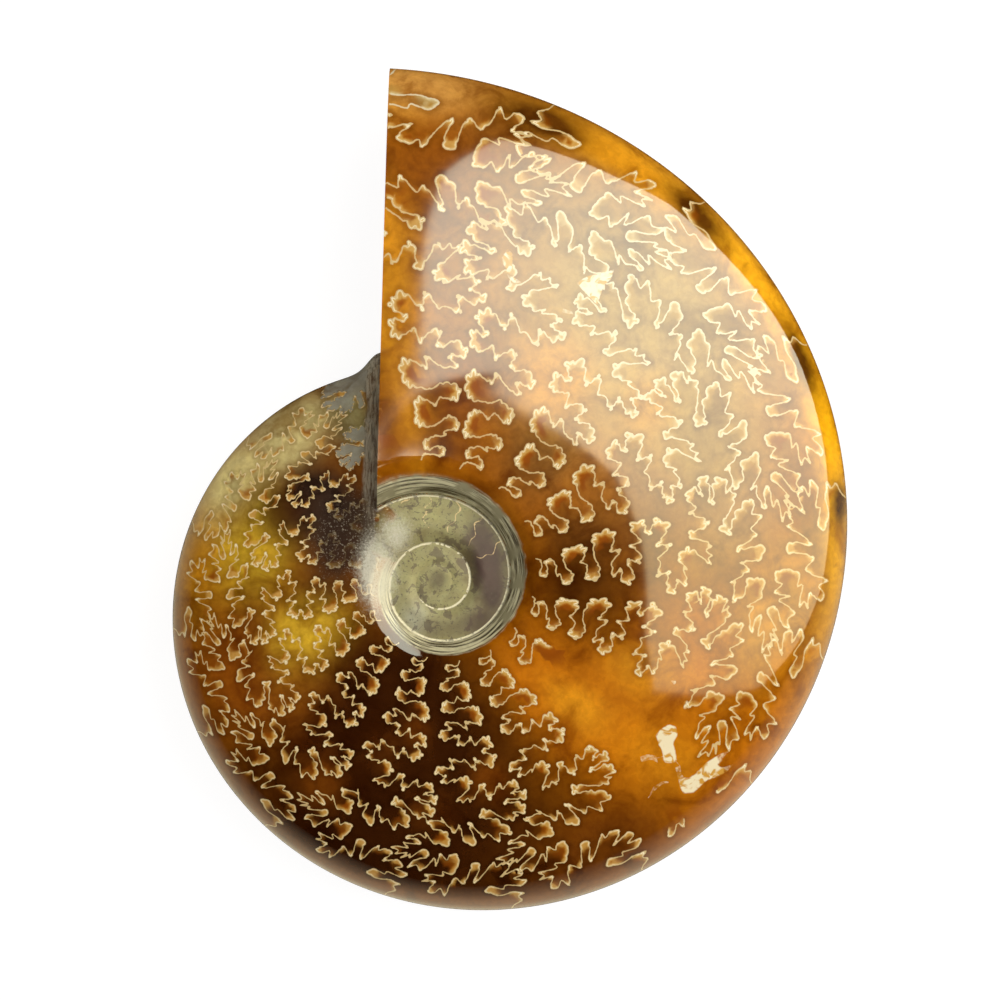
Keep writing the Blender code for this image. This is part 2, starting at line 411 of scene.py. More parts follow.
def fine_plan(sutures, grid, detailed):
    """Triangles of the plan, as points and faces, with an edge along every line that shows."""
    drawing = Plan()
    start = CUT_ANGLE + float(sweep(INNER_EDGE))
    stop = CUT_ANGLE + 360 + float(sweep(OUTER_EDGE))
    edge = spiral(edge_radius, start, stop, OUTLINE_STEP)
    down = np.arange(OUTER_EDGE - OUTLINE_STEP, INNER_EDGE + OUTLINE_STEP / 2, -OUTLINE_STEP)
    outline = drawing.chain(np.vstack([edge, cut_point(down)]), closed=True)
    steps = int((INNER_EDGE - SEAM_FOOT) / LINE_STEP)
    slit = drawing.chain(cut_point(np.linspace(INNER_EDGE, SEAM_FOOT, steps + 1)[1:]), first=outline[0])
    foot_angle = CUT_ANGLE + 360 + float(sweep(SEAM_FOOT))
    drawing.chain(spiral(seam_radius, INNERMOST_ANGLE, foot_angle, LINE_STEP)[:-1], last=slit[-1])
    for suture in sutures:
        seen = suture.seen & (suture.part < 0.996)
        ends = np.flatnonzero(np.diff(np.concatenate([[0], seen.astype(int), [0]])))
        for begin, end in zip(ends[::2], ends[1::2]):
            if end - begin > 2:
                drawing.chain(suture.place[begin:end])
    if detailed:
        for away, clear in BESIDE_ROWS:
            for suture in sutures:
                away_here = away * suture.scale
                for shift in (-away_here, away_here):
                    drawing.scatter(suture.beside(shift), away_here * clear)
        for corners in CHIPS:
            drawing.chain(evenly(np.array(corners + corners[:1]), LINE_STEP)[:-1], closed=True)
    rows = [spiral(edge_radius, start, stop, OUTLINE_STEP * 1.4, part) for part in RIM_PARTS]
    for part in WALL_PARTS:
        grown = 1 + part * (SHOULDER_OVER_SEAM - 1)
        rows.append(spiral(seam_radius, WALL_COARSE_FROM, foot_angle - 4, LINE_STEP * 1.6, grown))
        rows.append(spiral(seam_radius, WALL_FROM, WALL_COARSE_FROM, LINE_STEP * 1.3, grown))
    drawing.scatter(np.vstack(rows), 0.13)
    drawing.scatter(hexagons(grid), grid * 0.55)
    return filled(drawing.points, drawing.edges, outline)


def filled(corners, edges, outline):
    """Points and triangles that fill an outline, with edges along the lines inside it."""
    corners = [Vector(corner) for corner in corners]
    points, _, faces, *_ = delaunay_2d_cdt(corners, edges, [outline], 1, 1e-6)
    return np.array([tuple(point) for point in points]), np.array(faces)


def hexagons(grid):
    """A hexagonal grid of points inside the outline."""
    found = []
    for number, y in enumerate(np.arange(GRID_BOTTOM, GRID_TOP, grid * math.sqrt(3) / 2)):
        x = np.arange(GRID_LEFT, GRID_RIGHT, grid) + (number % 2) * grid / 2
        found.append(np.stack([x, np.full_like(x, y)], axis=1))
    points = np.vstack(found)
    radius = np.hypot(*points.T)
    angle = whorl_angle(*points.T)
    clear = (round_to_cut(angle, radius) > grid * 0.5) | (radius < SEAM_FOOT)
    return points[(radius < 0.9975 * edge_radius(angle)) & clear]


def on_slit(points):
    """Whether each point is where the sawn face stands on the whorl before."""
    radius = np.hypot(*points.T)
    off = along_cut(*points.T)[1]
    return (np.abs(off) < 1e-4) & (radius > SEAM_FOOT + 1e-3) & (radius < INNER_EDGE + 1e-3)


class Side:
    """One face of the shell: a vertex for every height that a point of the plan stands at."""

    def __init__(self, points, faces, up):
        centre = points[faces].mean(axis=1)
        turned = bearing(*points.T)[faces] - bearing(*centre.T)[:, None]
        angle = whorl_angle(*centre.T)[:, None] + (turned + 180) % 360 - 180
        radius = np.hypot(*points.T)[faces]
        rim = radius > edge_radius(angle) * (1 - 1e-6)
        height = np.where(rim, 0, shell_height(angle, radius))
        split = on_slit(points)[faces] & (angle > 300)
        _, first, index = np.unique(faces * 2 + split, return_index=True, return_inverse=True)
        self.faces = index.reshape(faces.shape)
        self.angle, self.radius, self.rim, height = (
            values.reshape(-1)[first] for values in (angle, radius, rim, height)
        )
        self.plan = points[faces.reshape(-1)[first]]
        self.level = lean(*self.plan.T) + height * (1 if up else -1)
        self.normals = corner_normals(angle, radius, up)
        if not up:
            self.faces = self.faces[:, ::-1]
            self.normals = self.normals[:, ::-1]


def corner_normals(angle, radius, up, step=0.04):
    """Outward normals of the shell at these places."""
    outward = (shell_height(angle, radius + step) - shell_height(angle, radius - step)) / (2 * step)
    turned = np.degrees(step / np.maximum(radius, 0.5))
    around = (shell_height(angle + turned, radius) - shell_height(angle - turned, radius)) / (2 * step)
    flattened = np.clip((radius - 1.0) / 3.0, 0, 1)
    outward, around = outward * flattened, around * flattened
    turn = np.radians(angle)
    slope_x = outward * np.cos(turn) - around * np.sin(turn)
    slope_y = outward * np.sin(turn) + around * np.cos(turn)
    sign = 1 if up else -1
    leant = [-slope_x - sign * LEAN_X, -slope_y - sign * LEAN_Y, np.full_like(slope_x, sign)]
    normals = np.stack(leant, axis=-1)
    return normals / np.linalg.norm(normals, axis=-1, keepdims=True)


def open_loop(faces):
    """The vertices round the one hole in these faces, in order."""
    ends = np.concatenate([faces[:, [0, 1]], faces[:, [1, 2]], faces[:, [2, 0]]])
    taken = {(int(a), int(b)) for a, b in ends}
    following = {b: a for a, b in taken if (b, a) not in taken}
    loop = [min(following)]
    for _ in range(len(following) - 1):
        loop.append(following[loop[-1]])
    if following[loop[-1]] != loop[0]:
        raise ValueError("the cut isn't one loop")
    return loop


def sawn_face(places, loop, spacing=0.7):
    """The sawn face: places inside the loop, and triangles numbered from the loop's first."""
    ring = places[loop]
    along = along_cut(ring[:, 0], ring[:, 1])[0]
    corners = list(zip(along, ring[:, 2]))
    count = len(corners)
    edges = [(k, (k + 1) % count) for k in range(count)]
    tree = tree_of(corners)
    for number, level in enumerate(np.arange(ring[:, 2].min(), ring[:, 2].max(), spacing * 0.87)):
        for place in np.arange(along.min(), along.max(), spacing) + (number % 2) * spacing / 2:
            if tree.find((place, level, 0))[2] > spacing * 0.4:
                corners.append((place, level))
    flat, faces = filled(corners, edges, list(range(count)))
    x = flat[:, 0] * CUT_COS - CUT_OFFSET * CUT_SIN
    y = flat[:, 0] * CUT_SIN + CUT_OFFSET * CUT_COS
    return np.stack([x, y, flat[:, 1]], axis=1), faces


# Where each place lies among the suture lines


def from_segments(points, start, run):
    """Offsets of the points from where segments start, and distances to the segments."""
    offset = points[:, None] - start
    part = np.clip((offset * run).sum(-1) / np.maximum((run * run).sum(-1), 1e-12), 0, 1)
    gap = offset - part[..., None] * run
    return offset, np.hypot(gap[..., 0], gap[..., 1])


class LineField:
    """Finds the nearest suture line to a place, how far it is and on which side."""

    def __init__(self, sutures):
        seen = np.concatenate([suture.seen[:-1] & suture.seen[1:] for suture in sutures])

        def gathered(read):
            return np.concatenate([read(suture) for suture in sutures])[seen]

        self.starts = gathered(lambda suture: suture.place[:-1])
        self.ends = gathered(lambda suture: suture.place[1:])
        self.tipness = gathered(lambda suture: suture.tipness[:-1])
        self.body = gathered(lambda suture: suture.body[:-1])
        self.number = gathered(lambda suture: np.full(len(suture.place) - 1, suture.number))
        self.tree = tree_of((self.starts + self.ends) / 2)

    def look(self, points):
        """For each point: distance, side (+1 ahead, -1 behind), strengths of tip and leaf, and suture."""
        near = np.array([[hit[1] for hit in self.tree.find_n((x, y, 0), 6)] for x, y in points])
        run = self.ends[near] - self.starts[near]
        offset, distance = from_segments(points, self.starts[near], run)
        best = distance.min(axis=1, keepdims=True)
        length = np.maximum(np.hypot(run[..., 0], run[..., 1]), 1e-9)
        cross = (run[..., 0] * offset[..., 1] - run[..., 1] * offset[..., 0]) / length
        side = -np.sign((cross * (distance < best + 1e-4)).sum(axis=1))
        chosen = near[np.arange(len(points)), distance.argmin(axis=1)]
        same = self.number[near] == self.number[chosen][:, None]
        weights = np.exp(-((distance - best) / 0.25) ** 2) * same
        total = weights.sum(axis=1)
        tipness = (self.tipness[near] * weights).sum(axis=1) / total
        body = (self.body[near] * weights).sum(axis=1) / total
        return best[:, 0], side, tipness, body, self.number[chosen]


# Paint: the soft tones of the stone, chamber by chamber


def linear(red, green, blue):
    """The linear value of a display colour given from 0 to 255."""
    shades = np.array([red, green, blue]) / 255
    return np.where(shades <= 0.04045, shades / 12.92, ((shades + 0.055) / 1.055) ** 2.4)


DEEP = linear(58, 26, 5)
DARK = linear(74, 36, 6)
BROWN = linear(98, 50, 10)
RUSSET = linear(140, 74, 14)
AMBER = linear(186, 106, 12)
GOLD = linear(212, 142, 26)
BLAZE = linear(246, 176, 22)
HONEY = linear(206, 150, 74)
CREAM = linear(222, 204, 136)
OLIVE = linear(160, 150, 100)
GREY = linear(150, 148, 132)
SOOT = linear(58, 42, 32)
VIOLET = linear(62, 42, 36)
YELLOW = linear(216, 172, 44)
TAN = linear(162, 128, 66)

# Soft patches of tone: whorl angle, part of the radius, spread along and across the whorl, tone, strength.
PATCHES = (
    (255, 0.6, 46, 0.7, DEEP, 1.0),
    (222, 0.42, 24, 0.2, DEEP, 0.9),
    (275, 0.7, 24, 0.4, DEEP, 0.6),
    (205, 0.62, 17, 0.16, RUSSET, 0.9),
    (199, 0.52, 12, 0.14, YELLOW, 1.0),
    (206, 0.8, 13, 0.12, RUSSET, 0.8),
    (192, 0.74, 8, 0.1, RUSSET, 0.9),
    (188, 0.9, 13, 0.08, RUSSET, 0.9),
    (164, 0.79, 15, 0.15, YELLOW, 1.0),
    (176, 0.92, 12, 0.07, GOLD, 0.9),
    (172, 0.68, 10, 0.09, YELLOW, 0.9),
    (153, 0.92, 11, 0.09, CREAM, 0.9),
    (132, 0.91, 10, 0.1, CREAM, 1.0),
    (138, 0.84, 9, 0.08, CREAM, 0.9),
    (118, 0.8, 7, 0.14, OLIVE, 0.9),
    (145, 0.6, 15, 0.17, SOOT, 1.0),
    (155, 0.68, 9, 0.1, DEEP, 0.8),
    (150, 0.48, 18, 0.12, SOOT, 0.9),
    (178, 0.4, 14, 0.1, SOOT, 0.5),
    (116, 0.56, 6, 0.12, RUSSET, 0.6),
    (136, 0.36, 10, 0.06, OLIVE, 1.0),
    (322, 0.62, 13, 0.34, AMBER, 0.9),
    (334, 0.78, 15, 0.28, AMBER, 1.0),
    (312, 0.42, 9, 0.14, AMBER, 0.8),
    (338, 0.58, 7, 0.1, GOLD, 0.7),
    (318, 0.5, 6, 0.09, GOLD, 0.7),
    (322, 0.76, 7, 0.12, GOLD, 0.4),
    (304, 0.9, 13, 0.14, BROWN, 0.8),
    (356, 0.38, 12, 0.12, DEEP, 0.7),
    (355, 0.7, 15, 0.18, AMBER, 0.8),
    (354, 0.84, 11, 0.09, GOLD, 0.9),
    (366, 0.64, 6, 0.08, GOLD, 0.6),
    (378, 0.34, 14, 0.09, DEEP, 0.7),
    (372, 0.52, 9, 0.1, BROWN, 0.6),
    (395, 0.42, 10, 0.09, AMBER, 0.7),
    (412, 0.34, 14, 0.09, BROWN, 0.8),
    (384, 0.68, 22, 0.22, RUSSET, 0.7),
    (410, 0.69, 28, 0.26, TAN, 1.0),
    (386, 0.7, 12, 0.12, TAN, 0.6),
    (420, 0.5, 9, 0.09, GOLD, 0.5),
    (400, 0.6, 5, 0.06, GOLD, 0.4),
    (372, 0.72, 5, 0.07, HONEY, 0.5),
    (448, 0.32, 8, 0.08, BROWN, 0.6),
    (459, 0.55, 6, 0.32, GOLD, 0.7),
    (452, 0.84, 8, 0.12, RUSSET, 0.8),
    (456, 0.95, 6, 0.06, GOLD, 0.6),
    (442, 0.4, 8, 0.08, RUSSET, 0.6),
    (400, 0.965, 34, 0.03, BLAZE, 0.7),
    (428, 0.955, 12, 0.03, GOLD, 0.9),
    (453, 0.965, 8, 0.05, HONEY, 0.8),
    (374, 0.975, 20, 0.03, BLAZE, 1.0),
    (437, 0.955, 6, 0.035, DARK, 0.95),
    (415, 0.962, 5, 0.026, DARK, 0.95),
    (391.5, 0.965, 5, 0.022, DARK, 0.95),
    (371, 0.98, 3, 0.02, DARK, 0.95),
    (270, 0.985, 45, 0.03, RUSSET, 0.9),
    (285, 0.6, 5, 0.06, RUSSET, 0.6),
    (268, 0.7, 6, 0.06, BROWN, 0.7),
    (252, 0.56, 6, 0.07, BROWN, 0.6),
    (240, 0.76, 6, 0.08, RUSSET, 0.5),
    (262, 0.46, 5, 0.05, RUSSET, 0.5),
)
INNER_SPOTS = (
    (4.6, 5.2, 1.5, 1.6, VIOLET, 0.9),
    (5.4, 2.4, 1.9, 2.6, VIOLET, 1.0),
    (6.0, -0.8, 1.4, 2.6, VIOLET, 1.0),
    (4.6, -4.4, 2.0, 1.4, VIOLET, 0.8),
    (0.6, -5.2, 2.6, 1.0, VIOLET, 0.5),
    (0.0, 0.4, 0.9, 0.9, VIOLET, 0.6),
    (-2.5, -4.0, 1.2, 1.6, GREY, 0.6),
)
INNER_TONE = linear(142, 136, 88)

# Bleached stone with a painted highlight beside the umbilicus, as (x, y, spread in x, spread in y,
# strength), and speckled stone, as (whorl angle, radius, spread along, spread across, strength).
BLEACHED_AND_HIGHLIGHT_SPOTS = ((-6.6, 1.2, 2.4, 4.6, 1.3), (-4.6, 5.2, 2.2, 2.6, 1.0))
SPECKLED_SPOT = (152, 11.0, 26, 3.6, 1.2)
# How many degrees past the cut the sunken inner coil is seen: within this radius, and from there on.
SUNKEN_RADIUS, SUNKEN_ANGLES = 8.3, (66, 34)


def soft_spot(first, second, x, y, wide, high, strength):
    """Highest at a spot, fading away from it, and never over 1."""
    return np.clip(np.exp(-(((first - x) / wide) ** 2 + ((second - y) / high) ** 2)) * strength, 0, 1)


def blend(base, tone, share):
    return base + (tone - base) * share[:, None]


def depth_in_chip(flat):
    """How far inside a chip each place is; below 0 outside them all."""
    depth = np.full(len(flat), -9.0)
    for corners in CHIPS:
        start = np.array(corners)
        run = np.roll(start, -1, axis=0) - start
        offset, distance = from_segments(flat, start, run)
        gap = distance.min(axis=1)
        crossing = (offset[..., 1] >= 0) != (offset[..., 1] - run[..., 1] >= 0)
        height = np.where(run[:, 1] == 0, 1, run[:, 1])
        ahead = offset[..., 0] < run[:, 0] * offset[..., 1] / height
        inside = (crossing & ahead).sum(axis=1) % 2 == 1
        depth = np.maximum(depth, np.where(inside, gap, -gap))
    return depth


def zone_marks(angle, radius, flat, number, side):
    """How bleached and brightened by a painted highlight, how speckled and how clear of suture lines each
    place is.
    """
    outer = angle > CUT_ANGLE
    # The pale spots hold bleached stone and a painted highlight together.
    bleached_and_highlight = np.max([soft_spot(*flat.T, *spot) for spot in BLEACHED_AND_HIGHLIGHT_SPOTS], axis=0)
    speckled = soft_spot(angle, radius, *SPECKLED_SPOT) * outer
    plain = (side < 0) & (number <= INNER_SUTURES) & outer
    return np.column_stack([bleached_and_highlight, speckled, plain * 1.0])


def paint(angle, radius, number, side, on_line):
    """The stone's own tone at each place, without the suture lines."""
    part = radius / edge_radius(angle)
    tone = np.tile(AMBER * 0.6, (len(angle), 1))
    for *spot, colour, strength in PATCHES:
        tone = blend(tone, colour, strength * soft_spot(angle, part, *spot, 1.3))
    chamber = number + (side > 0)
    rng = np.random.default_rng(SEED + 3)
    shade = np.exp(rng.normal(0, 0.14, chamber.max() + 2))
    between = (shade[number] + shade[number + 1]) / 2
    tone = tone * np.where(on_line, between, shade[chamber])[:, None]
    leaf = (chamber <= INNER_SUTURES) & (angle > CUT_ANGLE)
    tone = blend(tone, GREY, leaf * np.clip((part - 0.44) / 0.12, 0, 1) * 0.9)
    inner = (angle < sunken_to(radius)) | (np.abs(radius - seam_radius(angle)) < 1e-3)
    tone = blend(tone, INNER_TONE, inner * 1.0)
    flat = plan(angle, radius)
    for *spot, colour, strength in INNER_SPOTS:
        tone = blend(tone, colour, strength * inner * soft_spot(*flat.T, *spot, 1.5))
    return np.clip(tone, 0, 1)


def sunken_to(radius):
    """The whorl angle below which a place at this radius belongs to the sunken inner coil."""
    return CUT_ANGLE + np.select([radius < SUNKEN_RADIUS, radius < SEAM_FOOT * 1.02], SUNKEN_ANGLES, 0)


# The piece


def settled(places):
    """Sets the shell down as the solid stands: high spots lapped flat, centred over the origin."""
    places = places - np.array([0, 0, places[:, 2].min() + LAPPED_DEPTH])
    places[:, 2] = np.maximum(places[:, 2], 0)
    low, high = places[:, :2].min(axis=0), places[:, :2].max(axis=0)
    box = np.array([tuple(corner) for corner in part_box("ammonite")])[:, :2] / MM
    middle = (box.min(axis=0) + box.max(axis=0)) / 2
    places[:, :2] += middle - (low + high) / 2
    return places


def leaf_share(side, strength, on_line):
    """1 inside a tip's leaf, 0 outside it and one half along a straight side or on the line."""
    return np.where(on_line, 0.5, np.clip(0.5 - 0.5 * side * strength * 2.2, 0, 1))


def store(mesh, name, columns, on_cut):
    """Values for the material to read: a column's for each vertex, then the same all over the cut."""
    values = np.column_stack(columns)
    values = np.vstack([values, np.tile(on_cut, (len(mesh.vertices) - len(values), 1))])
    kind, field = ("FLOAT_COLOR", "color") if len(on_cut) == 4 else ("FLOAT_VECTOR", "vector")
    mesh.attributes.new(name, kind, "POINT").data.foreach_set(field, values.ravel())


# Where a texture square of TEXTURE_SIZE holds the upper side, the lower side and the sawn face, as
# (scale, left, bottom).
TEXTURE_SIZE = 1024
TEXTURE_PLACES = ((9.0, 5, 5), (4.55, 682, 5), (5.5, 690, 470))
UPPER, LOWER, SAWN = range(3)


def unwrap(mesh, corners_at, kinds):
    """Lays the upper side, the lower side and the sawn face beside each other in one texture square."""
    layer = mesh.uv_layers.new(name="OFBake")
    spread = np.empty((len(kinds), 3, 2))
    for kind, (scale, left, bottom) in enumerate(TEXTURE_PLACES):
        rows = kinds == kind
        flat = corners_at[rows]
        if kind == SAWN:
            flat = np.stack([along_cut(flat[..., 0], flat[..., 1])[0], flat[..., 2]], axis=-1)
        flat = flat[..., :2]
        spread[rows] = ((left, bottom) + scale * (flat - flat.min(axis=(0, 1)))) / TEXTURE_SIZE
    layer.data.foreach_set("uv", spread.ravel())


def joined(upper, lower):
    """Both sides with the rim's vertices shared: places, which vertices they were, and faces."""
    places = np.vstack([np.column_stack([side.plan, side.level]) for side in (upper, lower)])
    rim = np.concatenate([upper.rim, lower.rim])
    tag = np.where(rim, 0, np.arange(len(places)) + 1)
    keys = np.column_stack([np.round(places * 500).astype(np.int64) * rim[:, None], tag])
    _, first, index = np.unique(keys, axis=0, return_index=True, return_inverse=True)
    faces = np.vstack([upper.faces, lower.faces + len(upper.plan)])
    return places[first], first, index.reshape(-1)[faces]


def mark(mesh, sutures, angle, radius, flat):
    """Stores what the material needs to know about each place of the polished surface."""
    distance, side, tipness, body, number = LineField(sutures).look(flat)
    size = (edge_radius(angle) / FULL_SIZE) ** 0.8
    on_line = distance < 1e-3
    inside, leaf = (leaf_share(side, strength, on_line) for strength in (tipness, body))
    store(mesh, "line", [distance / size, inside, np.abs(tipness)], (9, 0, 0))
    store(mesh, "leaf", [leaf, np.abs(body), np.zeros_like(leaf)], (0, 0, 0))
    tone = paint(angle, radius, number, side, on_line)
    store(mesh, "tone", [tone, np.ones(len(tone))], (*AMBER * 0.6, 1))
    next_seam = np.where(angle + 360 < CUT_ANGLE + 360 + sweep(radius), seam_radius(angle + 360), 99)
    from_seam = np.abs(np.minimum(radius - seam_radius(angle), next_seam - radius))
    from_seam = np.where(from_seam < 1e-3, 0, from_seam)
    store(mesh, "whorl", [angle / 360, radius / seam_radius(angle), from_seam], (0, 3, 9))
    off_cut = along_cut(*flat.T)[1]
    facing = (angle < 180) & (angle > CUT_ANGLE) & (off_cut > -1e-3) & (flat[:, 1] > 0)
    sunken = (angle < sunken_to(radius)) | (from_seam == 0)
    store(mesh, "marks", [depth_in_chip(flat), np.where(facing, off_cut, 9), sunken], (-9, 9, 0))
    store(mesh, "zones", [zone_marks(angle, radius, flat, number, side)], (0, 0, 0))


def shell_piece():
    """The fossil as one closed mesh."""
    sutures = all_sutures()
    upper = Side(*fine_plan(sutures, GRID, True), up=True)
    lower = Side(*fine_plan(sutures, COARSE_GRID, False), up=False)
    places, first, faces = joined(upper, lower)
    loop = open_loop(faces)
    cut_places, cut_faces = sawn_face(places, loop)
    corner, second, third = cut_places[cut_faces[0]]
    if np.cross(second - corner, third - corner) @ CUT_NORMAL < 0:
        cut_faces = cut_faces[:, ::-1]
    numbers = np.concatenate([np.array(loop), len(places) + np.arange(len(cut_places) - len(loop))])
    kinds = np.repeat([UPPER, LOWER, SAWN], [len(upper.faces), len(lower.faces), len(cut_faces)])
    every = np.vstack([places, cut_places[len(loop):]])
    every_faces = np.vstack([faces, numbers[cut_faces]])
    corners_at = every[every_faces]
    every = settled(every)

    mesh = bpy.data.meshes.new("ammonite_shell")
    mesh.from_pydata((every * MM).tolist(), [], every_faces.tolist(), shade_flat=False)
    normals = np.vstack([upper.normals, lower.normals, np.tile(CUT_NORMAL, (len(cut_faces), 3, 1))])
    normals[(every[every_faces][..., 2] <= 1e-6).all(axis=1)] = (0, 0, -1)
    mesh.normals_split_custom_set(normals.reshape(-1, 3).tolist())
    angle = np.concatenate([upper.angle, lower.angle])[first]
    radius = np.concatenate([upper.radius, lower.radius])[first]
    mark(mesh, sutures, angle, radius, places[:, :2])
    unwrap(mesh, corners_at, kinds)
    sawn = mesh.attributes.new("sawn", "FLOAT", "FACE")
    sawn.data.foreach_set("value", (kinds == SAWN).astype(np.float32))
    return placed("ammonite_shell", mesh)


def placed(name, data):
    """A new object in the scene."""
    made = bpy.data.objects.new(name, data)
    bpy.context.scene.collection.objects.link(made)
    return made


# Material


class Nodes:
    """Builds a material's node tree a node at a time."""

    def __init__(self, name):
        self.material = bpy.data.materials.new(name)
        self.material.use_nodes = True
        self.tree = self.material.node_tree
        self.surface = self.tree.nodes["Principled BSDF"]

    def feed(self, socket, value):
        if isinstance(value, bpy.types.NodeSocket):
            self.tree.links.new(value, socket)
        elif socket.type == "RGBA":
            socket.default_value = (*value, 1.0)
        else:
            socket.default_value = value

    def give(self, socket, value):
        """A value or a link for one of the surface's own sockets."""
        self.feed(self.surface.inputs[socket], value)

    def math(self, operation, first, second=0.0, clamp=False):
        node = self.tree.nodes.new("ShaderNodeMath")
        node.operation = operation
        node.use_clamp = clamp
        self.feed(node.inputs[0], first)
        self.feed(node.inputs[1], second)
        return node.outputs[0]

    def plus(self, first, second):
        return self.math("ADD", first, second)

    def less(self, first, second):
        return self.math("SUBTRACT", first, second)

    def times(self, first, *others):
        for other in others:
            first = self.math("MULTIPLY", first, other)
        return first

    def fade(self, value, start, stop):
        """0 at start, 1 at stop, smooth between."""
        node = self.tree.nodes.new("ShaderNodeMapRange")
        node.interpolation_type = "SMOOTHSTEP"
        self.feed(node.inputs["Value"], value)
        node.inputs["From Min"].default_value = min(start, stop)
        node.inputs["From Max"].default_value = max(start, stop)
        node.inputs["To Min"].default_value = float(start > stop)
        node.inputs["To Max"].default_value = float(start < stop)
        return node.outputs[0]

    def mix(self, share, first, second, way="MIX"):
        node = self.tree.nodes.new("ShaderNodeMix")
        node.data_type = "RGBA"
        node.blend_type = way
        for number, value in ((0, share), (6, first), (7, second)):
            self.feed(node.inputs[number], value)
        return node.outputs[2]

    def tinted(self, colour, factors):
        return self.mix(1.0, colour, factors, "MULTIPLY")

    def attribute(self, name, output="Vector"):
        node = self.tree.nodes.new("ShaderNodeAttribute")
        node.attribute_name = name
        return node.outputs[output]

    def split(self, vector):
        node = self.tree.nodes.new("ShaderNodeSeparateXYZ")
        self.feed(node.inputs[0], vector)
        return node.outputs

    def noise(self, vector, scale, detail=2.0, roughness=0.5, distortion=0.0):
        node = self.tree.nodes.new("ShaderNodeTexNoise")
        values = (vector, scale, detail, roughness, distortion)
        for name, value in zip(("Vector", "Scale", "Detail", "Roughness", "Distortion"), values):
            self.feed(node.inputs[name], value)
        return node.outputs["Fac"]

    def stretch(self, vector, factors):
        node = self.tree.nodes.new("ShaderNodeVectorMath")
        node.operation = "MULTIPLY"
        self.feed(node.inputs[0], vector)
        node.inputs[1].default_value = factors
        return node.outputs[0]


